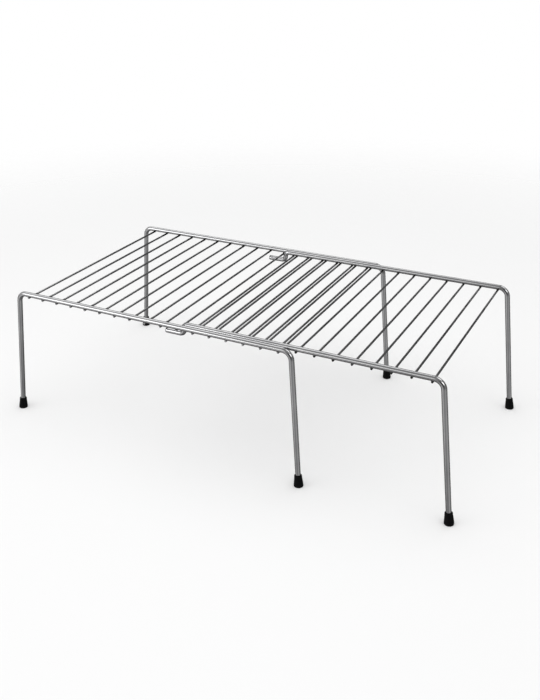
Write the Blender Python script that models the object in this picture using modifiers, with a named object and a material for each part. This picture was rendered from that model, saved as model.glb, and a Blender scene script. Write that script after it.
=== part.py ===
"""Expandable wire shelf for a kitchen cupboard.

A main frame on four legs carries a shorter extension frame that nests between
its rails and stands on two legs of its own. Each side of a frame is one thick
wire bent into a rail with legs. Thin cross wires run under the rails, and each
has a shallow saddle at both ends, where the weld presses the rail into it.
The extension's rails lie on the main frame's cross wires, and each rail ends
in a stepped tail that hooks under one of them. Every leg ends in a rubber foot.

Sizes are in metres. X runs along the shelf, towards the extension, Y runs
from front to back and Z is up. The floor is at Z = 0.
"""

import math

import bpy
from mathutils import Matrix, Vector

# Driving sizes of the shelf
WIRE_PITCH = 0.0200
SIDE_WIRE_DIAMETER = 0.0058
CROSS_WIRE_DIAMETER = 0.0023
RAIL_HEIGHT = 0.1534  # centre of the main rails above the floor
MAIN_DEPTH = 0.2582  # between the centres of the two main rails
WELD_BITE = 0.0005  # how far a rail is pressed into a cross wire
WIRE_OVERHANG = 0.0020  # cross wire beyond the centre of its rail
FIT_GAP = 0.0003  # left between pieces that touch

# Main frame
MAIN_WIRE_COUNT = 17
MAIN_END_MARGIN = 0.0139  # last cross wire to the corner of rail and leg
MAIN_BEND_RADIUS = 0.0105
MAIN_LEFT_SPLAY = math.radians(6.1)  # how far a leg leans out along the shelf
MAIN_RIGHT_SPLAY = math.radians(4.2)
MAIN_SIDE_SPLAY = math.radians(1.7)  # and how far to the front or the back

# Extension frame, and how it nests in the main frame as photographed
EXTENSION_WIRE_COUNT = 14
EXTENSION_END_MARGIN = 0.0104
EXTENSION_BEND_RADIUS = 0.0105
EXTENSION_END_SPLAY = math.radians(6.8)
EXTENSION_SIDE_SPLAY = math.radians(1.3)
NESTED_WIRES = 6  # main cross wires that the extension's rails lie on
NOTCH_OFFSET = 0.0036  # extension wire to the main wire on its right
SIDE_CLEARANCE = 0.0011  # between a main rail and the extension rail beside it

# Stepped tail of an extension rail
TAIL_SETBACK = 0.0112  # first extension wire to the middle of the step
TAIL_DROP = 0.0107
TAIL_LENGTH = 0.0232  # middle of the step to the tip
TAIL_BEND_RADIUS = 0.0052

# Rubber feet
FOOT_HEIGHT = 0.0129
FOOT_MOUTH_DIAMETER = 0.0083
FOOT_BASE_DIAMETER = 0.0102
FOOT_BASE_ROUND = 0.0014
FOOT_SOLE = 0.0029  # rubber under the end of the leg
FOOT_TRIM = 0.0008  # turned below the floor, then cut off level

# How finely round shapes are cut into flat faces
SIDE_WIRE_BEVEL_RESOLUTION = 6
CROSS_WIRE_SIDES = 12
SADDLE_SIDES = 32
FOOT_SIDES = 32
FOOT_ROUND_STEPS = 4
BEND_STEP = math.radians(12)
SHARP_ANGLE = math.radians(40)
MERGE_DISTANCE = 0.00001
CUT_OVERRUN = 0.0100

# Sizes that follow from the driving ones
SIDE_RADIUS = SIDE_WIRE_DIAMETER / 2
CROSS_RADIUS = CROSS_WIRE_DIAMETER / 2
WIRE_DROP = SIDE_RADIUS + CROSS_RADIUS - WELD_BITE
MAIN_WIRE_HEIGHT = RAIL_HEIGHT - WIRE_DROP
EXTENSION_RAIL_HEIGHT = MAIN_WIRE_HEIGHT + CROSS_RADIUS + FIT_GAP + SIDE_RADIUS
EXTENSION_WIRE_HEIGHT = EXTENSION_RAIL_HEIGHT - WIRE_DROP
EXTENSION_DEPTH = MAIN_DEPTH - 2 * (SIDE_WIRE_DIAMETER + SIDE_CLEARANCE)

# Places along the shelf, counted from the first main cross wire
MAIN_LAST_WIRE = (MAIN_WIRE_COUNT - 1) * WIRE_PITCH
MAIN_LEFT_CORNER = -MAIN_END_MARGIN
MAIN_RIGHT_CORNER = MAIN_LAST_WIRE + MAIN_END_MARGIN
EXTENSION_FIRST_WIRE = (MAIN_WIRE_COUNT - NESTED_WIRES) * WIRE_PITCH - NOTCH_OFFSET
EXTENSION_LAST_WIRE = EXTENSION_FIRST_WIRE + (EXTENSION_WIRE_COUNT - 1) * WIRE_PITCH
EXTENSION_CORNER = EXTENSION_LAST_WIRE + EXTENSION_END_MARGIN
TAIL_STEP = EXTENSION_FIRST_WIRE - TAIL_SETBACK


def floor_point(corner, end_splay, side_splay):
    """Where the centre line of a leg that starts at the corner meets the floor."""
    out = corner.z * math.tan(end_splay)
    aside = corner.z * math.tan(side_splay)
    return Vector((corner.x + out, corner.y + math.copysign(aside, corner.y), 0))


def leg_end(corner, foot):
    """The end of a leg's wire, just above the sole inside its rubber foot."""
    return foot + (corner - foot).normalized() * (FOOT_SOLE + FIT_GAP)


# The shelf's middle as photographed, counted from the first main cross wire
LEFT_FOOT_X = MAIN_LEFT_CORNER - RAIL_HEIGHT * math.tan(MAIN_LEFT_SPLAY)
RIGHT_FOOT_X = EXTENSION_CORNER + EXTENSION_RAIL_HEIGHT * math.tan(EXTENSION_END_SPLAY)
MIDDLE = (LEFT_FOOT_X + RIGHT_FOOT_X) / 2


def start_empty_scene():
    for old in list(bpy.data.objects):
        bpy.data.objects.remove(old)


def new_collection(name):
    made = bpy.data.collections.new(name)
    bpy.context.scene.collection.children.link(made)
    return made


def new_material(name, colour, roughness, metallic):
    made = bpy.data.materials.new(name)
    made.use_nodes = True
    shader = made.node_tree.nodes["Principled BSDF"]
    shader.inputs["Base Color"].default_value = (*colour, 1)
    shader.inputs["Roughness"].default_value = roughness
    shader.inputs["Metallic"].default_value = metallic
    return made


def move_to_collection(made, collection):
    for old in list(made.users_collection):
        old.objects.unlink(made)
    collection.objects.link(made)


def finish_piece(made, name, collection, material, parent):
    """Names a piece, gives it its finish and hangs it on its frame."""
    made.name = name
    made.data.name = name
    made.data.materials.clear()
    made.data.materials.append(material)
    made.parent = parent
    move_to_collection(made, collection)


def rounded_path(corners, radii):
    """A polyline through the corners, with each inner corner turned into an arc.

    An arc of radius r that turns by an angle a starts and ends r * tan(a / 2)
    from its corner. Its points lie at most BEND_STEP apart.
    """
    points = [corners[0]]
    for before, corner, after, radius in zip(corners, corners[1:], corners[2:], radii):
        arriving = (corner - before).normalized()
        leaving = (after - corner).normalized()
        turn = arriving.angle(leaving)
        inward = (leaving - arriving).normalized()
        centre = corner + inward * (radius / math.cos(turn / 2))
        spoke = corner - arriving * (radius * math.tan(turn / 2)) - centre
        axis = arriving.cross(leaving).normalized()
        steps = math.ceil(turn / BEND_STEP)
        for step in range(steps + 1):
            points.append(centre + Matrix.Rotation(turn * step / steps, 3, axis) @ spoke)
    points.append(corners[-1])
    return points


def bent_wire(points):
    """A side wire: a round tube along the points, closed at both ends."""
    curve = bpy.data.curves.new("bent_wire", "CURVE")
    curve.dimensions = "3D"
    curve.bevel_depth = SIDE_RADIUS
    curve.bevel_resolution = SIDE_WIRE_BEVEL_RESOLUTION
    curve.use_fill_caps = True
    spline = curve.splines.new("POLY")
    spline.points.add(len(points) - 1)
    for target, point in zip(spline.points, points):
        target.co = (*point, 1)
    return bpy.data.objects.new("bent_wire", curve)


def main_legs(y):
    """Both corners of a main side wire, and where their legs meet the floor."""
    left = Vector((MAIN_LEFT_CORNER, y, RAIL_HEIGHT))
    right = Vector((MAIN_RIGHT_CORNER, y, RAIL_HEIGHT))
    left_foot = floor_point(left, -MAIN_LEFT_SPLAY, MAIN_SIDE_SPLAY)
    right_foot = floor_point(right, MAIN_RIGHT_SPLAY, MAIN_SIDE_SPLAY)
    return (left, left_foot), (right, right_foot)


def extension_leg(y):
    corner = Vector((EXTENSION_CORNER, y, EXTENSION_RAIL_HEIGHT))
    return corner, floor_point(corner, EXTENSION_END_SPLAY, EXTENSION_SIDE_SPLAY)


def main_side_wire(y):
    """Left leg, rail and right leg, bent from one wire."""
    (left, left_foot), (right, right_foot) = main_legs(y)
    corners = [leg_end(left, left_foot), left, right, leg_end(right, right_foot)]
    return bent_wire(rounded_path(corners, [MAIN_BEND_RADIUS, MAIN_BEND_RADIUS]))


def extension_side_wire(y):
    """Tail, step, rail and leg, bent from one wire."""
    corner, foot = extension_leg(y)
    tail_height = EXTENSION_RAIL_HEIGHT - TAIL_DROP
    corners = [
        Vector((TAIL_STEP - TAIL_LENGTH, y, tail_height)),
        Vector((TAIL_STEP, y, tail_height)),
        Vector((TAIL_STEP, y, EXTENSION_RAIL_HEIGHT)),
        corner,
        leg_end(corner, foot),
    ]
    radii = [TAIL_BEND_RADIUS, TAIL_BEND_RADIUS, EXTENSION_BEND_RADIUS]
    return bent_wire(rounded_path(corners, radii))


def cylinder(radius, length, sides, turn, location):
    bpy.ops.mesh.primitive_cylinder_add(
        vertices=sides, radius=radius, depth=length, rotation=turn, location=location
    )
    return bpy.context.object


def saddle_cutters(frame_name, first, last, height, depth, collection):
    """The two rails of a frame, a gap larger all round, to cut the saddles with."""
    made = []
    for side, sign in (("front", -1), ("back", 1)):
        place = ((first + last) / 2 - MIDDLE, sign * depth / 2, height)
        length = last - first + 2 * CUT_OVERRUN
        along_x = (0, math.pi / 2, 0)
        cutter = cylinder(SIDE_RADIUS + FIT_GAP, length, SADDLE_SIDES, along_x, place)
        cutter.name = f"{frame_name}_{side}_saddle_cutter"
        cutter.display_type = "WIRE"
        cutter.hide_render = True
        move_to_collection(cutter, collection)
        made.append(cutter)
    return made


def cross_wire(x, height, depth, cutters):
    """A thin straight wire from front to back, with a saddle for each rail."""
    length = depth + 2 * WIRE_OVERHANG
    along_y = (math.pi / 2, 0, 0)
    made = cylinder(CROSS_RADIUS, length, CROSS_WIRE_SIDES, along_y, (x, 0, height))
    made.data.shade_smooth()
    made.data.set_sharp_from_angle(angle=SHARP_ANGLE)
    for cutter in cutters:
        saddle = made.modifiers.new(cutter.name, "BOOLEAN")
        saddle.operation = "DIFFERENCE"
        saddle.solver = "EXACT"
        saddle.object = cutter
    return made


def foot_profile():
    """Half the section of a foot: up the bore, over the mouth, down the outside."""
    bore = SIDE_RADIUS + FIT_GAP
    base = FOOT_BASE_DIAMETER / 2
    points = [
        (0, FOOT_SOLE),
        (bore, FOOT_SOLE),
        (bore, FOOT_HEIGHT),
        (FOOT_MOUTH_DIAMETER / 2, FOOT_HEIGHT),
    ]
    for step in range(FOOT_ROUND_STEPS + 1):
        angle = math.pi / 2 * step / FOOT_ROUND_STEPS
        x = base - FOOT_BASE_ROUND * (1 - math.cos(angle))
        z = FOOT_BASE_ROUND * (1 - math.sin(angle)) - FOOT_TRIM
        points.append((x, z))
    points.append((0, -FOOT_TRIM))
    return points


def floor_cutter(collection):
    """A block below the floor that trims the soles level."""
    size = (
        RIGHT_FOOT_X - LEFT_FOOT_X + FOOT_BASE_DIAMETER + 2 * CUT_OVERRUN,
        2 * MAIN_DEPTH,
        CUT_OVERRUN,
    )
    bpy.ops.mesh.primitive_cube_add(size=1)
    made = bpy.context.object
    made.data.transform(Matrix.Diagonal((*size, 1)))
    made.location = (0, 0, -CUT_OVERRUN / 2)
    made.name = "floor_cutter"
    made.display_type = "WIRE"
    made.hide_render = True
    move_to_collection(made, collection)
    return made


def rubber_foot(corner, foot, trimmer):
    """A turned cap on the end of a leg, in line with it and trimmed level."""
    points = foot_profile()
    mesh = bpy.data.meshes.new("rubber_foot")
    edges = [(i, i + 1) for i in range(len(points) - 1)]
    mesh.from_pydata([(x, 0, z) for x, z in points], edges, [])
    made = bpy.data.objects.new("rubber_foot", mesh)
    up = Vector((0, 0, 1))
    made.rotation_euler = up.rotation_difference(corner - foot).to_euler()
    made.location = foot
    turned = made.modifiers.new("turned", "SCREW")
    turned.angle = 2 * math.pi
    turned.steps = FOOT_SIDES
    turned.render_steps = FOOT_SIDES
    turned.use_merge_vertices = True
    turned.merge_threshold = MERGE_DISTANCE
    turned.use_smooth_shade = True
    level = made.modifiers.new("level", "BOOLEAN")
    level.operation = "DIFFERENCE"
    level.solver = "EXACT"
    level.object = trimmer
    return made


def build():
    start_empty_scene()
    shelf = new_collection("expandable_cabinet_shelf")
    cutters = new_collection("cutters")
    steel = new_material("chromed_steel_wire", (0.62, 0.62, 0.63), 0.12, 1)
    rubber = new_material("black_rubber", (0.015, 0.015, 0.016), 0.6, 0)

    # Both frames hang on empties on the floor under the first main cross wire.
    # The extension's empty moves along X when the shelf is made longer.
    frames = {}
    for name in ("main_frame", "extension_frame"):
        frames[name] = bpy.data.objects.new(name, None)
        frames[name].location = (-MIDDLE, 0, 0)
        shelf.objects.link(frames[name])
    main = frames["main_frame"]
    extension = frames["extension_frame"]

    trimmer = floor_cutter(cutters)
    for side, sign in (("front", -1), ("back", 1)):
        main_y = sign * MAIN_DEPTH / 2
        extension_y = sign * EXTENSION_DEPTH / 2
        main_wire = main_side_wire(main_y)
        finish_piece(main_wire, f"main_{side}_rail", shelf, steel, main)
        extension_wire = extension_side_wire(extension_y)
        finish_piece(extension_wire, f"extension_{side}_rail", shelf, steel, extension)

        left, right = main_legs(main_y)
        feet = (
            (f"main_foot_{side}_left", left, main),
            (f"main_foot_{side}_right", right, main),
            (f"extension_foot_{side}", extension_leg(extension_y), extension),
        )
        for name, (corner, foot), frame in feet:
            cap = rubber_foot(corner, foot, trimmer)
            finish_piece(cap, name, shelf, rubber, frame)

    main_saddles = saddle_cutters(
        "main", 0, MAIN_LAST_WIRE, RAIL_HEIGHT, MAIN_DEPTH, cutters
    )
    for i in range(MAIN_WIRE_COUNT):
        wire = cross_wire(i * WIRE_PITCH, MAIN_WIRE_HEIGHT, MAIN_DEPTH, main_saddles)
        finish_piece(wire, f"main_cross_wire_{i + 1:02d}", shelf, steel, main)

    extension_saddles = saddle_cutters(
        "extension",
        EXTENSION_FIRST_WIRE,
        EXTENSION_LAST_WIRE,
        EXTENSION_RAIL_HEIGHT,
        EXTENSION_DEPTH,
        cutters,
    )
    for i in range(EXTENSION_WIRE_COUNT):
        x = EXTENSION_FIRST_WIRE + i * WIRE_PITCH
        wire = cross_wire(x, EXTENSION_WIRE_HEIGHT, EXTENSION_DEPTH, extension_saddles)
        finish_piece(wire, f"extension_cross_wire_{i + 1:02d}", shelf, steel, extension)


build()
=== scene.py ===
# %% [markdown]
# # An expandable wire shelf in chromed steel
#
# This lesson dresses a plain model of a cupboard shelf so that it looks like the
# one in a catalogue picture. The shelf is two frames of bent wire. The longer
# one stands on four legs. The shorter one lies between its rails, hooks under
# one of its cross wires and stands on two legs of its own.
#
# The plain model is loaded first, and it fixes every size and place. Each wire
# is then drawn again with a rounder section, soft cut ends and small welds, and
# gets a finish that is worked out by formula. All lengths are in metres. X runs
# along the shelf, Y from front to back and Z up, and the floor is at Z = 0.

import math

import bpy
import numpy as np
from mathutils import Matrix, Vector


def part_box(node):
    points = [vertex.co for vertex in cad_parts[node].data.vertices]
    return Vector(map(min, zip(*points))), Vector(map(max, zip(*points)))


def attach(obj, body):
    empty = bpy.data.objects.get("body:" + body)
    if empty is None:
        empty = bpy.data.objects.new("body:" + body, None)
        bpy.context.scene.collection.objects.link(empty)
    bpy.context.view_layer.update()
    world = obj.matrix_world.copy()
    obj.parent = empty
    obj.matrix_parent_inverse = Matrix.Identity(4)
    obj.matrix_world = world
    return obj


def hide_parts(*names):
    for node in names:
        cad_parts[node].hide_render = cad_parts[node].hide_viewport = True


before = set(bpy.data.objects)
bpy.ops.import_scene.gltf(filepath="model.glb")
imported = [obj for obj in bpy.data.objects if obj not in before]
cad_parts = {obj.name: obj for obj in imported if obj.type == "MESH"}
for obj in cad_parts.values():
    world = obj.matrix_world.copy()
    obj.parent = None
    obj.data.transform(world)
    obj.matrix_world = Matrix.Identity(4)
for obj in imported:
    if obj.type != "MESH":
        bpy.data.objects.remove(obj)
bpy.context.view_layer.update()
print("plain pieces:", len(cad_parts))

# %% [markdown]
# ## Sizes
#
# The wire gauges, the bends, the leans of the legs and the rubber feet have one
# named value each. Where each cross wire runs is read from the plain model. The
# side wires are drawn 0.01 mm thinner than the plain ones, so that nothing
# stands out past them.

# %% Name the sizes
SIDE_RADIUS = 0.002895
CROSS_RADIUS = 0.00115
BEND_RADIUS = 0.0105
TAIL_BEND_RADIUS = 0.0052
TAIL_DROP = 0.0107
TAIL_STEP_X = -0.032247
TAIL_TIP_X = -0.055447

MAIN_RAIL_Y = 0.1291
MAIN_RAIL_Z = 0.1534
MAIN_LEFT_X = -0.251347
MAIN_RIGHT_X = 0.096453
MAIN_LEFT_SPLAY = math.radians(-6.1)
MAIN_RIGHT_SPLAY = math.radians(4.2)
MAIN_SIDE_SPLAY = math.radians(1.7)

EXTENSION_RAIL_Y = 0.1222
EXTENSION_RAIL_Z = 0.1542
EXTENSION_X = 0.249353
EXTENSION_SPLAY = math.radians(6.8)
EXTENSION_SIDE_SPLAY = math.radians(1.3)

FOOT_HEIGHT = 0.0129
FOOT_SOLE = 0.0029
FIT_GAP = 0.0003

FRONT_AND_BACK = (("front", -1), ("back", 1))
print("side wire", 2000 * SIDE_RADIUS, "mm, cross wire", 2000 * CROSS_RADIUS, "mm")

# %% [markdown]
# ## From numbers to a surface
#
# Every new piece is a grid of points: rows follow each other along the piece
# and columns go round it. The first step is to number the faces. Four-sided
# walls join each row to the next, and one flat face closes each end. The order
# of the points in a face decides which way it looks, and here all look outwards.


# %% Number the faces of a grid
def grid_faces(copies, rows, columns):
    """The walls, the first ends and the last ends for some copies of a grid.

    The point in copy k, row r and column c has the number (k * rows + r) *
    columns + c. A wall takes that point, the next one round, and the same two
    in the next row. The last column is followed by the first. A first end
    takes its row backwards, and a last end takes its row as it runs.
    """
    copy, row, column = np.meshgrid(
        np.arange(copies), np.arange(rows - 1), np.arange(columns), indexing="ij"
    )
    first = (copy * rows + row) * columns
    here = first + column
    beside = first + (column + 1) % columns
    walls = np.stack([here, beside, beside + columns, here + columns], axis=-1)
    ring = np.arange(copies)[:, None] * rows * columns + np.arange(columns)
    return walls.reshape(-1, 4), ring[:, ::-1], ring + (rows - 1) * columns


box_faces = grid_faces(copies=1, rows=2, columns=4)
print("a box is a grid of 2 rows and 4 columns, with faces:", sum(map(len, box_faces)))

# %% [markdown]
# ## A map on the surface
#
# Each piece also carries a map, so that a finish can follow the direction in
# which the wire was drawn. The first number is the distance along the wire and
# the second is the distance round it. The map is kept at the corners of the
# faces rather than at the points, because where the last column of walls meets
# the first one, the same point is both a full turn and no turn at all.

# %% Make a closed piece with its map
MAP_NAME = "along_and_round"


def store_map(mesh, wall_count, columns, along, around):
    """Writes the distances along and round the piece at each corner of each face.

    A point in column c lies c / columns of a turn round. The second and third
    corners of a wall end it, so in column 0 they count as one full turn.
    """
    corner = np.empty(len(mesh.loops), dtype=np.int32)
    mesh.loops.foreach_get("vertex_index", corner)
    column, row = corner % columns, corner // columns % len(along)
    ends_wall = np.zeros(len(corner), dtype=bool)
    ends_wall[: 4 * wall_count] = np.tile([False, True, True, False], wall_count)
    turn = column / columns + (ends_wall & (column == 0))
    surface_map = np.stack([along[row], turn * around], axis=1)
    layer = mesh.uv_layers.new(name=MAP_NAME)
    layer.data.foreach_set("uv", surface_map.astype(np.float32).ravel())


def grid_piece(name, points, along, around):
    """A closed mesh from points[copy, row, column].

    along is the distance of each row from the first one, and around is the
    length of one full turn.
    """
    copies, rows, columns = points.shape[:3]
    walls, first_ends, last_ends = grid_faces(copies, rows, columns)
    faces = walls.tolist() + first_ends.tolist() + last_ends.tolist()
    mesh = bpy.data.meshes.new(name)
    mesh.from_pydata(points.reshape(-1, 3).tolist(), [], faces)
    mesh.shade_smooth()
    store_map(mesh, len(walls), columns, along, around)
    mesh.update()
    made = bpy.data.objects.new(name, mesh)
    bpy.context.scene.collection.objects.link(made)
    return made


print("each piece gets a map called", MAP_NAME)

# %% [markdown]
# ## Dressing a new piece
#
# The plain model knows which pieces belong to which frame, and the extension
# slides with all of its own. So each new piece gets its finish, hides the plain
# piece whose place it takes, and is attached to the frame that it moves with.


# %% Dress a piece
def dress(piece, finish, slot, body, *replaced):
    """Gives a piece its finish, hides the plain pieces it replaces and attaches it to its frame."""
    piece.data.materials.append(finish)
    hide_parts(*replaced)
    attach(piece, body)


# %% [markdown]
# ## A wire follows a path
#
# Real wire is bent round pins, so its corners are arcs. The path is a line with
# sharp corners first, and then each corner is replaced by an arc. An arc of
# radius r that turns by an angle a touches the two straight parts at
# r * tan(a / 2) from the corner.


# %% Round the corners of a path
def unit(v):
    """The same direction with a length of 1: v divided by its own length."""
    return v / np.linalg.norm(v, axis=-1, keepdims=True)


def rounded_path(corners, radii, arc_steps=20):
    """Points along the corners, with each inner corner replaced by an arc.

    A point of the arc is centre + spoke * cos(t) + heading * radius * sin(t),
    where t goes from 0 to the angle that the path turns by.
    """
    runs = [corners[:1]]
    for before, corner, after, radius in zip(corners, corners[1:], corners[2:], radii):
        arriving, leaving = unit(corner - before), unit(after - corner)
        turn = math.acos(float(arriving @ leaving))
        centre = corner + unit(leaving - arriving) * radius / math.cos(turn / 2)
        spoke = corner - arriving * radius * math.tan(turn / 2) - centre
        t = np.linspace(0, turn, arc_steps + 1)[:, None]
        runs.append(centre + spoke * np.cos(t) + arriving * radius * np.sin(t))
    runs.append(corners[-1:])
    return np.concatenate(runs)


square_corner = np.array([(0.0, 0.0, 0.0), (1.0, 0.0, 0.0), (1.0, 1.0, 0.0)])
quarter_bend = rounded_path(square_corner, [0.5])
print("a quarter bend has", len(quarter_bend), "points")

# %% [markdown]
# ## A wire is a circle carried along its path
#
# At each point of the path a circle stands square to it. Where the path ends
# the circle shrinks along a quarter of a small circle, which rounds the cut end
# as tumbling and plating do. A cylinder with a bevel would do for straight
# wires, but not for bent ones, and this one way makes both.


# %% Carry a circle along a path
def headings_along(path):
    """The direction of the path at each point: the mean of the runs beside it."""
    runs = unit(np.diff(path, axis=0))
    before = np.concatenate([runs[:1], runs])
    after = np.concatenate([runs, runs[-1:]])
    return unit(before + after)


def carried_circle(name, path, radius, sides, sideways, end_round, end_steps=6):
    """A round wire along the path, with both cut ends softened.

    A point of the surface is centre + reach * (side * cos(t) + up * sin(t)).
    side is the given sideways direction made square to the path, so the wire
    doesn't twist. At an end, reach is radius - end_round * (1 - sin(s)), at a
    depth of end_round * (1 - cos(s)), where s goes from 0 to a quarter turn.
    """
    s = np.linspace(0, math.pi / 2, end_steps)
    depth = end_round * (1 - np.cos(s))[:, None]
    narrow = radius - end_round * (1 - np.sin(s))
    heading = headings_along(path)
    first_end = path[0] + heading[0] * depth
    last_end = (path[-1] - heading[-1] * depth)[::-1]
    centres = np.concatenate([first_end, path[1:-1], last_end])
    reach = np.concatenate([narrow, np.full(len(path) - 2, radius), narrow[::-1]])
    heading = np.concatenate(
        [np.repeat(heading[:1], end_steps, 0), heading[1:-1], np.repeat(heading[-1:], end_steps, 0)]
    )
    side = unit(sideways - (heading @ sideways)[:, None] * heading)
    up = np.cross(heading, side)
    t = np.linspace(0, 2 * math.pi, sides, endpoint=False)[None, :, None]
    ring = side[:, None] * np.cos(t) + up[:, None] * np.sin(t)
    points = centres[:, None] + reach[:, None, None] * ring
    lengths = np.linalg.norm(np.diff(centres, axis=0), axis=1)
    along = np.concatenate([[0], np.cumsum(lengths)])
    return grid_piece(name, points[None], along, 2 * math.pi * radius)


half_way = len(quarter_bend) // 2
print("half way round the bend it heads", headings_along(quarter_bend)[half_way].round(2))

# %% [markdown]
# ## Nodes for the finishes
#
# A finish is worked out by nodes, each of which does one small step. They can be
# placed by hand in the shader editor, but a script can repeat them. A few short
# functions keep the later cells readable: one makes a node, one feeds a socket,
# one does a sum, and two read where a point of the piece lies.


# %% Make and feed nodes
def add(tree, kind, **settings):
    """A node of that kind. Settings with the name of a socket go to the socket."""
    node = tree.nodes.new(kind)
    for name, value in settings.items():
        title = name.replace("_", " ").title()
        if title in node.inputs:
            node.inputs[title].default_value = value
        else:
            setattr(node, name, value)
    return node


def feed(tree, source, socket):
    """Links another node's output to the socket, or keeps a plain value in it."""
    if isinstance(source, bpy.types.NodeSocket):
        tree.links.new(source, socket)
    else:
        socket.default_value = source


def reckon(tree, operation, *terms):
    """The result of one sum. A term is a number or another node's output."""
    node = add(tree, "ShaderNodeMath", operation=operation)
    for term, socket in zip(terms, node.inputs):
        feed(tree, term, socket)
    return node.outputs["Value"]


def parts_of(tree, vector):
    """The X, Y and Z parts of a vector."""
    node = tree.nodes.new("ShaderNodeSeparateXYZ")
    tree.links.new(vector, node.inputs["Vector"])
    return node.outputs


def object_place(tree):
    """Where a point of the piece lies, in the shelf's own coordinates."""
    return tree.nodes.new("ShaderNodeTexCoord").outputs["Object"]


math_operations = bpy.types.ShaderNodeMath.bl_rna.properties["operation"].enum_items
print("a Math node can do", len(math_operations), "kinds of sum")

# %% [markdown]
# ## Ranges and blends
#
# Most steps of a finish say: where this value goes from here to there, let that
# one go from this to that. The Map Range node does it for numbers and the Mix
# node for colours. The Mix node has a set of sockets for each kind of value, all
# with the same names, so its colour sockets are reached by number.

# %% Move a value and blend two colours
MIX_FIRST_COLOUR = 6
MIX_SECOND_COLOUR = 7
MIX_COLOUR_RESULT = 2


def remap(tree, value, old, new, smooth=False):
    """Moves a value from the old range to the new one, and holds it at the ends.

    With t from 0 to 1 along the old range, the result is new[0] + (new[1] -
    new[0]) * t, and where it is smooth, t gives way to 3 t^2 - 2 t^3.
    """
    node = tree.nodes.new("ShaderNodeMapRange")
    node.interpolation_type = "SMOOTHSTEP" if smooth else "LINEAR"
    for title, number in zip(("From Min", "From Max", "To Min", "To Max"), (*old, *new)):
        node.inputs[title].default_value = number
    tree.links.new(value, node.inputs["Value"])
    return node.outputs["Result"]


def blend(tree, share, first, second):
    """A colour that goes from the first to the second as the share goes from 0 to 1."""
    node = add(tree, "ShaderNodeMix", data_type="RGBA")
    feed(tree, share, node.inputs["Factor"])
    feed(tree, first, node.inputs[MIX_FIRST_COLOUR])
    feed(tree, second, node.inputs[MIX_SECOND_COLOUR])
    return node.outputs[MIX_COLOUR_RESULT]


print("the Mix node takes colours at", MIX_FIRST_COLOUR, "and", MIX_SECOND_COLOUR)

# %% [markdown]
# ## Noise
#
# Noise is a pattern of soft random clouds. Its scale says how many of them fit
# in a metre, and its detail adds finer clouds on top. Its values crowd round
# the middle, so a finish spreads that middle part over the range it needs.

# %% Make noise useful
NOISE_CROWD = (0.3, 0.7)


def stretched(tree, source, factors):
    """The coordinates from source, times one factor for each axis."""
    node = add(tree, "ShaderNodeMapping", scale=factors)
    tree.links.new(source, node.inputs["Vector"])
    return node.outputs["Vector"]


def noise(tree, vector, scale, detail):
    """Clouds over the coordinates, as many to a metre as the scale says."""
    node = add(tree, "ShaderNodeTexNoise", scale=scale, detail=detail)
    tree.links.new(vector, node.inputs["Vector"])
    return node.outputs["Fac"]


def spread(tree, value, low, high):
    """A noise, whose values crowd between 0.3 and 0.7, spread from low to high."""
    return remap(tree, value, NOISE_CROWD, (low, high))


print("noise is spread from the range", NOISE_CROWD)

# %% [markdown]
# ## Chrome plating
#
# Plated wire looks smooth from afar. Close up it has faint lines along its
# length, left by the die that the wire was pulled through, and slow changes of
# shine from the plating bath. Near the welds shade is painted on it, as a dark
# colour, and it is made duller there.
#
# Every chromed piece shares one group of nodes for this. The group takes how
# much shade is painted on a place, and gives a colour, a roughness and a height
# for the bump.
# The die lines are noise on the map of the wire: few changes along it and
# thousands round it draw clouds out into lines.

# %% Build the plating
PALE_CHROME = (0.60, 0.60, 0.605, 1)
DARK_CHROME = (0.50, 0.50, 0.51, 1)
# The next colour is painted shade: chrome darkened where the wires meet at the rails and on the welds.
PAINTED_SHADE_CHROME = (0.03, 0.028, 0.027, 1)
DIE_LINES = (12, 3500, 1)
BATH_CLOUDS = 45
PLATING_GRAIN = 900
BATH_ROUGHNESS = (0.09, 0.15)
LINE_ROUGHNESS = 0.04
PAINTED_SHADE_ROUGHNESS = 0.2
LINE_SHARE = 0.7
GRAIN_SHARE = 0.3


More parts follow.
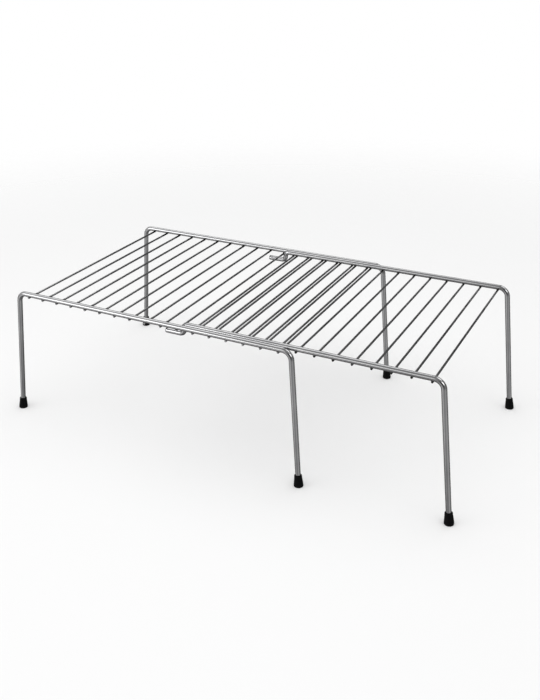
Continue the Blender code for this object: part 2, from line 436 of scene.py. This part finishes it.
def plating_group():
    """Die lines and slow changes of shine, for any chromed piece.

    The colour goes from dark to pale with the clouds, and from there to the dark
    painted shade. Roughness is clouds + lines + painted shade, each times its own
    amount, and the height is lines + grain, each times its share.
    """
    tree = bpy.data.node_groups.new("plating", "ShaderNodeTree")
    for name, kind in (
        ("Base Color", "NodeSocketColor"),
        ("Roughness", "NodeSocketFloat"),
        ("Bump Height", "NodeSocketFloat"),
    ):
        tree.interface.new_socket(name=name, in_out="OUTPUT", socket_type=kind)
    tree.interface.new_socket(name="Painted Shade", in_out="INPUT", socket_type="NodeSocketFloat")
    painted_shade = tree.nodes.new("NodeGroupInput").outputs["Painted Shade"]
    out = tree.nodes.new("NodeGroupOutput")

    wire_map = add(tree, "ShaderNodeUVMap", uv_map=MAP_NAME).outputs["UV"]
    lines = noise(tree, stretched(tree, wire_map, DIE_LINES), scale=1, detail=3)
    place = object_place(tree)
    clouds = noise(tree, place, BATH_CLOUDS, detail=2)
    grain = noise(tree, place, PLATING_GRAIN, detail=2)

    clean = blend(tree, spread(tree, clouds, 0, 1), DARK_CHROME, PALE_CHROME)
    # Painted shade: the colour darkens towards the shaded chrome as the input rises.
    feed(tree, blend(tree, painted_shade, clean, PAINTED_SHADE_CHROME), out.inputs["Base Color"])
    bath = spread(tree, clouds, *BATH_ROUGHNESS)
    shine = reckon(tree, "ADD", bath, spread(tree, lines, 0, LINE_ROUGHNESS))
    dulled = reckon(tree, "MULTIPLY_ADD", painted_shade, PAINTED_SHADE_ROUGHNESS, shine)
    feed(tree, dulled, out.inputs["Roughness"])
    line_height = spread(tree, lines, 0, LINE_SHARE)
    height = reckon(tree, "ADD", line_height, spread(tree, grain, 0, GRAIN_SHARE))
    feed(tree, height, out.inputs["Bump Height"])
    return tree


plating = plating_group()
print("nodes in the plating:", len(plating.nodes))

# %% [markdown]
# ## Painted shade where the wires meet
#
# The cross wires pass under the rails and are welded there, and shade is painted
# on them where they meet the rails. The extension's rails lie just inside the
# main ones, so one formula serves both frames: the painted shade grows over the
# last few millimetres before the extension's rails, and is gone again just
# outside the middle of the main rails, so that the ends of the main cross wires
# are left plain.

# %% Find the painted shade along a cross wire
PAINTED_SHADE_REACH = 0.006


def near_rails(tree):
    """Painted shade, which rises to 1 towards the rails and falls again outside the main rails'
    centres.

    Both steps go by the distance from the middle plane, and they are multiplied.
    """
    distance = reckon(tree, "ABSOLUTE", parts_of(tree, object_place(tree))["Y"])
    inner = EXTENSION_RAIL_Y - SIDE_RADIUS
    outer = MAIN_RAIL_Y + SIDE_RADIUS / 2
    rise = remap(tree, distance, (inner - PAINTED_SHADE_REACH, inner), (0, 1), smooth=True)
    fall = remap(tree, distance, (MAIN_RAIL_Y, outer), (1, 0), smooth=True)
    return reckon(tree, "MULTIPLY", rise, fall)


print("the burn starts", 1000 * PAINTED_SHADE_REACH, "mm before the inner rails")

# %% [markdown]
# ## Three kinds of chrome
#
# All chrome here is the same plating over steel. The side wires have deeper die
# lines than the cross wires, the cross wires get painted shade near the rails, and
# a weld gets painted shade all over and is rough, because its metal has been liquid.

# %% Mix the chrome
SIDE_WIRE_BUMP = 0.000012
CROSS_WIRE_BUMP = 0.000008
WELD_BUMP = 0.00004
# How much shade is painted on the welds, all over.
WELD_PAINTED_SHADE = 0.85
CHROME_BUMP_STRENGTH = 0.5


def new_finish(name):
    """A new material, with its nodes and the shader that comes with it."""
    finish = bpy.data.materials.new(name)
    finish.use_nodes = True
    return finish, finish.node_tree, finish.node_tree.nodes["Principled BSDF"]


def set_bump(tree, shader, height, distance, strength):
    """Tilts the light on the surface as hollows of that depth would."""
    bump = add(tree, "ShaderNodeBump", distance=distance, strength=strength)
    tree.links.new(height, bump.inputs["Height"])
    tree.links.new(bump.outputs["Normal"], shader.inputs["Normal"])


def chrome_finish(name, bump_height, painted_shade=0, painted_shade_from=None):
    """Chrome from the plating group, with painted shade even all over or as painted_shade_from says."""
    finish, tree, shader = new_finish(name)
    coat = tree.nodes.new("ShaderNodeGroup")
    coat.node_tree = plating
    feed(tree, painted_shade_from(tree) if painted_shade_from else painted_shade, coat.inputs["Painted Shade"])
    shader.inputs["Metallic"].default_value = 1
    for title in ("Base Color", "Roughness"):
        tree.links.new(coat.outputs[title], shader.inputs[title])
    set_bump(tree, shader, coat.outputs["Bump Height"], bump_height, CHROME_BUMP_STRENGTH)
    return finish


side_chrome = chrome_finish("chrome_on_side_wire", SIDE_WIRE_BUMP)
# The cross wires get painted shade near the rails.
cross_chrome = chrome_finish("chrome_on_cross_wire", CROSS_WIRE_BUMP, painted_shade_from=near_rails)
weld_chrome = chrome_finish("chrome_on_welds", WELD_BUMP, painted_shade=WELD_PAINTED_SHADE)
print("chrome:", side_chrome.name, cross_chrome.name, weld_chrome.name)

# %% [markdown]
# ## Rubber
#
# The feet are moulded rubber: near black and matt, with a fine grain from the
# mould. Close to the floor they pick up a little dust, in patches.

# %% Mix the rubber
BLACK_RUBBER = (0.0025, 0.0025, 0.003, 1)
DUSTY_RUBBER = (0.02, 0.019, 0.018, 1)
DUST_TOP = 0.003
DUST_MOST = 0.5
DUST_PATCHES = 260
MOULD_GRAIN = 2600
RUBBER_ROUGHNESS = (0.42, 0.6)
RUBBER_GLOSS = 0.1
RUBBER_BUMP = 0.00008
RUBBER_BUMP_STRENGTH = 0.6


def rubber_finish():
    """Moulded rubber. Dust falls from its most at the floor to 0, times the patches."""
    finish, tree, shader = new_finish("moulded_rubber")
    place = object_place(tree)
    grain = noise(tree, place, MOULD_GRAIN, detail=3)
    patches = noise(tree, place, DUST_PATCHES, detail=3)
    low = remap(tree, parts_of(tree, place)["Z"], (0, DUST_TOP), (DUST_MOST, 0))
    dust = reckon(tree, "MULTIPLY", low, spread(tree, patches, 0, 1))
    feed(tree, blend(tree, dust, BLACK_RUBBER, DUSTY_RUBBER), shader.inputs["Base Color"])
    feed(tree, spread(tree, patches, *RUBBER_ROUGHNESS), shader.inputs["Roughness"])
    shader.inputs["Specular IOR Level"].default_value = RUBBER_GLOSS
    set_bump(tree, shader, grain, RUBBER_BUMP, RUBBER_BUMP_STRENGTH)
    return finish


rubber = rubber_finish()
print("rubber:", rubber.name)

# %% [markdown]
# ## Legs
#
# The legs lean outwards, so that the shelf stands firm. Each is the end of a side
# wire, which is bent down at the end of its rail and runs straight towards the
# floor. It stops inside its rubber foot, just above the sole.

# %% Find where the legs end
FRONT_TO_BACK = np.array([0.0, 1.0, 0.0])
UPWARDS = np.array([0.0, 0.0, 1.0])


def floor_point(corner, end_splay, side_splay):
    """Where a leg that starts at the corner meets the floor.

    On its way down by the corner's height, a leg moves by that height times
    tan(end_splay) along the shelf and times tan(side_splay) outwards.
    """
    lean = np.array([math.tan(end_splay), math.copysign(math.tan(side_splay), corner[1]), -1])
    return corner + corner[2] * lean


def leg_end(corner, foot):
    """The end of a leg's wire, just above the sole inside its foot."""
    return foot + unit(corner - foot) * (FOOT_SOLE + FIT_GAP)


print("along its line a leg's wire ends", round(1000 * (FOOT_SOLE + FIT_GAP), 1), "mm above the floor")

# %% [markdown]
# ## The main side wires
#
# A main side wire is a leg, a rail and a leg in one, with two bends. A Blender
# curve with a bevel depth would draw it too. The carried circle is used because
# it also gives the wire its soft ends and the map that the die lines follow.

# %% Bend a main side wire
SIDE_WIRE_SIDES = 48
LEG_END_ROUND = 0.0006


def main_side_wire(side, sign):
    """Draws the wire, and lists each leg's foot as name, corner, floor point, body."""
    left = np.array([MAIN_LEFT_X, sign * MAIN_RAIL_Y, MAIN_RAIL_Z])
    right = np.array([MAIN_RIGHT_X, sign * MAIN_RAIL_Y, MAIN_RAIL_Z])
    left_foot = floor_point(left, MAIN_LEFT_SPLAY, MAIN_SIDE_SPLAY)
    right_foot = floor_point(right, MAIN_RIGHT_SPLAY, MAIN_SIDE_SPLAY)
    corners = np.array([leg_end(left, left_foot), left, right, leg_end(right, right_foot)])
    path = rounded_path(corners, [BEND_RADIUS, BEND_RADIUS])
    wire = carried_circle(
        f"bent_main_{side}_rail", path, SIDE_RADIUS, SIDE_WIRE_SIDES, FRONT_TO_BACK, LEG_END_ROUND
    )
    dress(wire, side_chrome, "chrome_side_wire", "main_frame", f"main_{side}_rail")
    return [
        (f"main_foot_{side}_left", left, left_foot, "main_frame"),
        (f"main_foot_{side}_right", right, right_foot, "main_frame"),
    ]


print("main rail in mm:", round(1000 * (MAIN_RIGHT_X - MAIN_LEFT_X), 1))

# %% [markdown]
# ## The extension side wires
#
# This is the bend that makes the shelf work. The wire starts with a short tail,
# which lies under a cross wire of the main frame. It steps up beside that wire,
# runs as a rail on top of the main cross wires and ends in one leg. Its cut ends
# are rounder than the main wires', so that the tail slips under the cross wire.

# %% Bend all four side wires
TAIL_END_ROUND = 0.0012


def extension_side_wire(side, sign):
    """Draws the wire, and lists its foot as name, corner, floor point, body."""
    y = sign * EXTENSION_RAIL_Y
    corner = np.array([EXTENSION_X, y, EXTENSION_RAIL_Z])
    foot = floor_point(corner, EXTENSION_SPLAY, EXTENSION_SIDE_SPLAY)
    tail_z = EXTENSION_RAIL_Z - TAIL_DROP
    corners = np.array(
        [
            (TAIL_TIP_X, y, tail_z),
            (TAIL_STEP_X, y, tail_z),
            (TAIL_STEP_X, y, EXTENSION_RAIL_Z),
            corner,
            leg_end(corner, foot),
        ]
    )
    path = rounded_path(corners, [TAIL_BEND_RADIUS, TAIL_BEND_RADIUS, BEND_RADIUS])
    wire = carried_circle(
        f"bent_extension_{side}_rail", path, SIDE_RADIUS, SIDE_WIRE_SIDES, FRONT_TO_BACK, TAIL_END_ROUND
    )
    dress(wire, side_chrome, "chrome_side_wire", "extension_frame", f"extension_{side}_rail")
    return [(f"extension_foot_{side}", corner, foot, "extension_frame")]


feet = []
for side, sign in FRONT_AND_BACK:
    feet += main_side_wire(side, sign)
    feet += extension_side_wire(side, sign)
print("side wires bent, legs:", len(feet))

# %% [markdown]
# ## The cross wires
#
# A cross wire is a straight piece, carried as a circle between the ends of its
# plain piece. The sizes of the plain piece's box give its centre line.

# %% Draw a frame's cross wires
CROSS_WIRE_SIDES = 24
WIRE_END_ROUND = 0.00035


def wire_line(node):
    """Both ends of the centre line of a plain cross wire."""
    low, high = (np.array(c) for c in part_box(node))
    middle = (low + high) / 2
    return np.array([(middle[0], low[1], middle[2]), (middle[0], high[1], middle[2])])


def cross_wires(frame_name):
    """Draws a frame's cross wires from left to right, and gives their lines."""
    start = f"{frame_name}_cross_wire_"
    names = sorted(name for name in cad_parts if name.startswith(start))
    lines = [wire_line(name) for name in names]
    for name, line in zip(names, lines):
        wire = carried_circle(
            f"drawn_{name}", line, CROSS_RADIUS, CROSS_WIRE_SIDES, UPWARDS, WIRE_END_ROUND
        )
        dress(wire, cross_chrome, "chrome_cross_wire", f"{frame_name}_frame", name)
    return lines


first_line = wire_line("main_cross_wire_01")
print("a main cross wire is", round(1000 * (first_line[1] - first_line[0])[1], 1), "mm long")

# %% [markdown]
# ## The welds
#
# Under each rail a cross wire is resistance welded: the two wires are pressed
# together while hot, and a little metal flows into the corners between them.
# That metal is a low bead, drawn as an ellipsoid whose middle is hidden by the
# wires. No two beads are alike, so each has its three sizes changed by a little
# luck. The same seed gives the same luck each time.

# %% Draw the cross wires and lay the welds
BEAD_SIZES = (0.0019, 0.0022, 0.00075)
BEAD_LUCK = (0.88, 1.12)
BEAD_RISE = 0.0002
BEAD_ROWS = 13
BEAD_SIDES = 24
POLE_ANGLE = 0.05


def beads(name, centres, half_sizes, seed):
    """Weld beads: ellipsoids round the centres, each a little different.

    A point of a bead is centre + (a sin(u) cos(v), b sin(u) sin(v), -c cos(u)),
    where a, b and c are the half sizes times the luck. u stops a small angle
    before both poles, where a flat face closes the bead.
    """
    u = np.linspace(POLE_ANGLE, math.pi - POLE_ANGLE, BEAD_ROWS)[:, None]
    v = np.linspace(0, 2 * math.pi, BEAD_SIDES, endpoint=False)[None, :]
    shape = np.stack(
        [np.sin(u) * np.cos(v), np.sin(u) * np.sin(v), -np.cos(u) + 0 * v], axis=-1
    )
    luck = np.random.default_rng(seed).uniform(*BEAD_LUCK, size=(len(centres), 1, 1, 3))
    points = centres[:, None, None, :] + shape[None] * np.array(half_sizes) * luck
    along = np.linspace(0, 2 * half_sizes[2], BEAD_ROWS)
    return grid_piece(name, points, along, 2 * math.pi * half_sizes[0])


for frame_name, rail_y, rail_z in (
    ("main", MAIN_RAIL_Y, MAIN_RAIL_Z),
    ("extension", EXTENSION_RAIL_Y, EXTENSION_RAIL_Z),
):
    lines = cross_wires(frame_name)
    bead_z = rail_z - SIDE_RADIUS + BEAD_RISE
    centres = np.array(
        [(line[0][0], sign * rail_y, bead_z) for line in lines for _, sign in FRONT_AND_BACK]
    )
    weld = beads(f"{frame_name}_weld_beads", centres, BEAD_SIZES, seed=len(lines))
    weld.data.materials.append(weld_chrome)
    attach(weld, f"{frame_name}_frame")
    print(frame_name, "cross wires:", len(lines), "welds:", len(centres))

# %% [markdown]
# ## The rubber feet
#
# A foot is turned: a profile goes once round the line of the leg. The profile
# starts under the middle of the sole, goes out and up the outside, over the lip
# and down the bore. The outside narrows from the base to the lip along a smooth
# step, so it is steep at both ends. Blender's Screw modifier could turn such a
# profile too, but the grid gives the foot its map and its flat base as well.

# %% Draw the profile of a foot
LIP_RADIUS = 0.00415
BASE_RADIUS = 0.00509
BASE_ROUND = 0.0014
LIP_ROUND = 0.00035
BASE_DIP = 0.0008
SOLE_POINTS = 8
ARC_POINTS = 12
FLANK_POINTS = 20
BORE_POINTS = 6
POLE_RADIUS = 0.00002


def stretch(reach, height):
    """A stretch of the profile. Either value may stay the same all along it."""
    return np.stack(np.broadcast_arrays(reach, height))


def foot_profile():
    """Distances from the leg's line and heights along it, from sole to bore.

    Round stretches are quarter circles: radius * sin(s) one way and radius *
    (1 - cos(s)) the other. The flank is base + (lip - base) * (3 t^2 - 2 t^3).
    Both ends stop just short of the leg's line, where a flat face closes them.
    """
    bore = SIDE_RADIUS + FIT_GAP
    flat = BASE_RADIUS - BASE_ROUND
    flank_start = BASE_ROUND - BASE_DIP
    s = np.linspace(0, math.pi / 2, ARC_POINTS)
    sole = stretch(np.linspace(POLE_RADIUS, flat, SOLE_POINTS)[:-1], -BASE_DIP)
    edge = stretch(flat + BASE_ROUND * np.sin(s), BASE_ROUND * (1 - np.cos(s)) - BASE_DIP)
    t = np.linspace(0, 1, FLANK_POINTS)[1:]
    narrowing = (LIP_RADIUS - BASE_RADIUS) * (3 * t**2 - 2 * t**3)
    flank_height = FOOT_HEIGHT - LIP_ROUND - flank_start
    flank = stretch(BASE_RADIUS + narrowing, flank_start + flank_height * t)
    sine, cosine = np.sin(s[1:]), np.cos(s[1:])
    outer_lip = stretch(LIP_RADIUS - LIP_ROUND * (1 - cosine), FOOT_HEIGHT - LIP_ROUND * (1 - sine))
    inner_lip = stretch(bore + LIP_ROUND * (1 - sine), FOOT_HEIGHT - LIP_ROUND * (1 - cosine))
    wall = stretch(bore, np.linspace(FOOT_HEIGHT - 2 * LIP_ROUND, FOOT_SOLE, BORE_POINTS))
    bottom = stretch(np.linspace(bore, POLE_RADIUS, BORE_POINTS)[1:], FOOT_SOLE)
    return np.concatenate([sole, edge, flank, outer_lip, inner_lip, wall, bottom], axis=1)


print("points in the profile of a foot:", foot_profile().shape[1])

# %% [markdown]
# ## Feet that lean and stand flat
#
# A foot leans with its leg, so a level base would lift on one side. The profile
# therefore starts a little below the floor, and after the foot is turned,
# whatever dips below the floor is pressed flat on it.

# %% Turn the feet
FOOT_SIDES = 72


def turned_foot(name, corner, foot):
    """A rubber foot round the line from the floor point up to the corner.

    A point is foot + height * axis + reach * (across * cos(t) + side * sin(t)),
    and where that is below the floor, its height becomes 0.
    """
    reach, height = foot_profile()
    axis = unit(corner - foot)
    side = unit(FRONT_TO_BACK - (axis @ FRONT_TO_BACK) * axis)
    across = np.cross(side, axis)
    t = np.linspace(0, 2 * math.pi, FOOT_SIDES, endpoint=False)[None, :, None]
    ring = across * np.cos(t) + side * np.sin(t)
    points = foot + height[:, None, None] * axis + reach[:, None, None] * ring
    points[..., 2] = np.maximum(points[..., 2], 0)
    steps = np.hypot(np.diff(reach), np.diff(height))
    along = np.concatenate([[0], np.cumsum(steps)])
    return grid_piece(name, points[None], along, 2 * math.pi * BASE_RADIUS)


for name, corner, foot, body in feet:
    cap = turned_foot(f"turned_{name}", corner, foot)
    dress(cap, rubber, "rubber", body, name)
print("feet turned:", len(feet))

# %% [markdown]
# ## The floor
#
# The picture has a white background. The floor is plain and pale and keeps the
# shelf's shadow. Far from the shelf it thins out, for the camera only, into the
# white world behind it, so no horizon shows. It is also see-through to mirrored
# rays, so the legs show the grey of the room and don't turn white.

# %% Lay the floor
FLOOR_HALF = 30
FLOOR_CORNER_SHARES = ((-1, -1), (1, -1), (1, 1), (-1, 1))
FLOOR_COLOUR = (0.87, 0.87, 0.87, 1)
FLOOR_ROUGHNESS = 0.9
FLOOR_FADE = (0.45, 1.5)


def mix_shaders(tree, share, first, second):
    """The first shader where the share is 0 and the second where it is 1."""
    mix = tree.nodes.new("ShaderNodeMixShader")
    tree.links.new(share, mix.inputs["Fac"])
    tree.links.new(first, mix.inputs[1])
    tree.links.new(second, mix.inputs[2])
    return mix.outputs["Shader"]


def floor_finish():
    """A matt pale floor that thins out into the white room far from the shelf.

    How clear it is: the smooth step of the distance for the camera's own rays,
    1 for mirrored rays, and 0 for all others.
    """
    finish, tree, shader = new_finish("pale_floor")
    shader.inputs["Base Color"].default_value = FLOOR_COLOUR
    shader.inputs["Roughness"].default_value = FLOOR_ROUGHNESS
    shader.inputs["Specular IOR Level"].default_value = 0
    distance = add(tree, "ShaderNodeVectorMath", operation="LENGTH")
    tree.links.new(object_place(tree), distance.inputs[0])
    far = remap(tree, distance.outputs["Value"], FLOOR_FADE, (0, 1), smooth=True)
    rays = tree.nodes.new("ShaderNodeLightPath").outputs
    seen_far = reckon(tree, "MULTIPLY", far, rays["Is Camera Ray"])
    thin = reckon(tree, "MAXIMUM", seen_far, rays["Is Glossy Ray"])
    clear = tree.nodes.new("ShaderNodeBsdfTransparent")
    surface = mix_shaders(tree, thin, shader.outputs["BSDF"], clear.outputs["BSDF"])
    tree.links.new(surface, tree.nodes["Material Output"].inputs["Surface"])
    return finish


floor_points = [(x * FLOOR_HALF, y * FLOOR_HALF, 0) for x, y in FLOOR_CORNER_SHARES]
floor_mesh = bpy.data.meshes.new("studio_floor")
floor_mesh.from_pydata(floor_points, [], [(0, 1, 2, 3)])
floor = bpy.data.objects.new("studio_floor", floor_mesh)
floor.data.materials.append(floor_finish())
bpy.context.scene.collection.objects.link(floor)
print("floor:", 2 * FLOOR_HALF, "m wide")

# %% [markdown]
# ## The lamps
#
# A large soft lamp hangs overhead, and a smaller and weaker one stands at the
# front left. They light the rubber and the floor and cast the shadow. Chrome
# doesn't mirror them, because the room that it mirrors is drawn by itself below.


# %% Hang the lamps
def lamp(name, size, power, location, target):
    """A square soft lamp that looks from its place at the target."""
    data = bpy.data.lights.new(name, "AREA")
    data.size = size
    data.energy = power
    made = bpy.data.objects.new(name, data)
    made.location = location
    away = np.array(location) - np.array(target)
    azimuth = math.atan2(away[0], -away[1])
    tilt = math.atan2(math.hypot(away[0], away[1]), away[2])
    made.rotation_euler = (tilt, 0, azimuth)
    made.visible_glossy = False
    bpy.context.scene.collection.objects.link(made)


lamp("overhead_lamp", size=2.8, power=39, location=(0.1, -0.15, 2.2), target=(0, 0, 0))
lamp("front_left_lamp", size=1.6, power=8, location=(-1.8, -1.6, 1.5), target=(0, 0, 0.05))
print("lamps hung:", len(bpy.data.lights))

# %% [markdown]
# ## The walls that chrome mirrors
#
# Chrome has hardly any colour of its own and shows its surroundings, so these
# are drawn by formula from the direction of each mirrored ray. The walls are
# grey and darker straight below. On the far side they fall to about a third,
# which draws the thin cross wires as dark lines.
#
# Two ramps hold this, and each stop on them is a place from 0 to 1 and a
# brightness. By height, 0 is straight down and 1 straight up. By depth, 0 is
# straight in front and 1 straight behind.

# %% Paint the walls
WALL_BY_HEIGHT = ((0, 0.16), (0.14, 0.22), (0.28, 0.33), (0.45, 0.29), (0.6, 0.30), (1, 0.33))
WALL_BY_DEPTH = ((0.45, 1.0), (0.7, 0.75), (0.86, 0.36), (1, 0.3))


def ramp(tree, value, stops):
    """A brightness that goes smoothly through (place, brightness) stops."""
    node = tree.nodes.new("ShaderNodeValToRGB")
    node.color_ramp.interpolation = "EASE"
    while len(node.color_ramp.elements) < len(stops):
        node.color_ramp.elements.new(0.5)
    for element, (position, grey) in zip(node.color_ramp.elements, stops):
        element.position = position
        element.color = (grey, grey, grey, 1)
    tree.links.new(value, node.inputs["Fac"])
    return node.outputs["Color"]


def zero_to_one(tree, value):
    """Half the value plus a half: moves a direction's part from -1..1 to 0..1."""
    return reckon(tree, "MULTIPLY_ADD", value, 0.5, 0.5)


def walls(tree, direction):
    """The brightness by height, from below to above, times that by depth."""
    parts = parts_of(tree, direction)
    by_height = ramp(tree, zero_to_one(tree, parts["Z"]), WALL_BY_HEIGHT)
    by_depth = ramp(tree, zero_to_one(tree, parts["Y"]), WALL_BY_DEPTH)
    return reckon(tree, "MULTIPLY", by_height, by_depth)


world = bpy.data.worlds.new("studio")
bpy.context.scene.world = world
world.use_nodes = True
room = world.node_tree
room.nodes.clear()
direction = room.nodes.new("ShaderNodeTexCoord").outputs["Generated"]
shade = walls(room, direction)
print("walls painted with", len(room.nodes), "nodes")

# %% [markdown]
# ## Soft boxes
#
# A photographer lights chrome with white panels, soft boxes, whose mirror images
# are the bright streaks on it. Seen from one place, a straight wire mirrors only
# a ring of the room, which lies round the wire's own line. So a box can stand
# where one kind of wire mirrors it more than the others do. A dark card does
# the opposite: it takes brightness away.
#
# Each line gives the direction of a box from the shelf, the angles in degrees
# within which it is full and beyond which it is gone, and its brightness. They
# were set over many renders, by comparing the streaks with those in the
# picture. The last two are hardly mirrored in the picture's own view, and serve
# the views from behind.

# %% Hang the soft boxes
SOFT_BOXES = (
    ("front left", (-0.62, -0.75, 0.23), 8, 17, 2.7),
    ("front, a little left", (-0.34, -0.90, 0.25), 6, 17, 1.1),
    ("high at the back left", (-0.45, 0.45, 0.77), 13, 26, 1.3),
    ("up at the left, wide and faint", (-0.85, -0.30, 0.43), 12, 40, 0.38),
    ("low at the front left", (-0.55, -0.70, -0.45), 8, 20, 0.46),
    ("low at the right", (0.80, -0.40, -0.45), 6, 22, 0.22),
    ("up at the right", (0.80, -0.37, 0.47), 8, 17, 2.8),
    ("front right, a dark card", (0.45, -0.88, 0.12), 12, 28, -0.28),
    ("straight behind", (0.0, 1.0, 0.0), 8, 19, 1.5),
    ("overhead, a little back and right", (0.37, 0.28, 0.89), 12, 23, 1.6),
)


def soft_box(tree, direction, toward, inner, outer, brightness):
    """A round panel: full within the inner angle of its direction, gone at the outer.

    The cosine of the angle between a ray and the panel is their dot product. It
    goes through a smooth step from the cosine of outer to that of inner.
    """
    closeness = add(tree, "ShaderNodeVectorMath", operation="DOT_PRODUCT")
    tree.links.new(direction, closeness.inputs[0])
    closeness.inputs[1].default_value = unit(np.array(toward))
    edge = (math.cos(math.radians(outer)), math.cos(math.radians(inner)))
    return remap(tree, closeness.outputs["Value"], edge, (0, brightness), smooth=True)


for box_name, toward, inner, outer, brightness in SOFT_BOXES:
    panel = soft_box(room, direction, toward, inner, outer, brightness)
    panel.node.label = box_name
    shade = reckon(room, "ADD", shade, panel)
print("soft boxes and cards:", len(SOFT_BOXES))

# %% [markdown]
# ## What each ray sees
#
# The drawn room is for mirrored rays only. A ray straight from the camera sees
# plain white, as behind a cut-out picture. All other rays meet an even light,
# which fills the shadows without bleaching them.

# %% Show each ray its surroundings
AMBIENT_STRENGTH = 0.55
WHITE = (1, 1, 1, 1)

rays = room.nodes.new("ShaderNodeLightPath").outputs
mirrored = add(room, "ShaderNodeBackground", strength=1.0)
room.links.new(shade, mirrored.inputs["Color"])
ambient = add(room, "ShaderNodeBackground", color=WHITE, strength=AMBIENT_STRENGTH)
backdrop = add(room, "ShaderNodeBackground", color=WHITE, strength=1.0)
lit = mix_shaders(room, rays["Is Glossy Ray"], ambient.outputs[0], mirrored.outputs[0])
seen = mix_shaders(room, rays["Is Camera Ray"], lit, backdrop.outputs[0])
out = room.nodes.new("ShaderNodeOutputWorld")
room.links.new(seen, out.inputs["Surface"])
print("surroundings drawn with", len(room.nodes), "nodes")

# %% [markdown]
# ## The camera
#
# The camera stands in front of the shelf, to the right of its middle, and looks
# down on it. Its place, its angles, its lens and the small shift of its frame
# were fitted, so that the wires, rails and legs lie where the picture has them.

# %% Place the camera
CAMERA_PLACE = (0.43252, -0.82592, 0.54196)
CAMERA_AZIMUTH = math.radians(27.859)
CAMERA_ELEVATION = math.radians(25.761)
CAMERA_ROLL = math.radians(-0.869)
CAMERA_SENSOR = 36
CAMERA_LENS = 45.022
CAMERA_SHIFT_X = 0.0115
CAMERA_SHIFT_Y = -0.0170
CAMERA_CLIP_START = 0.02

camera_data = bpy.data.cameras.new("picture_camera")
camera_data.sensor_fit = "VERTICAL"
camera_data.sensor_height = CAMERA_SENSOR
camera_data.sensor_width = CAMERA_SENSOR
camera_data.lens = CAMERA_LENS
camera_data.shift_x = CAMERA_SHIFT_X
camera_data.shift_y = CAMERA_SHIFT_Y
camera_data.clip_start = CAMERA_CLIP_START
camera = bpy.data.objects.new("picture_camera", camera_data)
camera.matrix_world = (
    Matrix.Translation(CAMERA_PLACE)
    @ Matrix.Rotation(CAMERA_AZIMUTH, 4, "Z")
    @ Matrix.Rotation(math.pi / 2 - CAMERA_ELEVATION, 4, "X")
    @ Matrix.Rotation(CAMERA_ROLL, 4, "Z")
)
bpy.context.scene.collection.objects.link(camera)
bpy.context.scene.camera = camera
bpy.context.scene.view_settings.view_transform = "Standard"
print("camera at", CAMERA_PLACE, "lens", camera_data.lens)
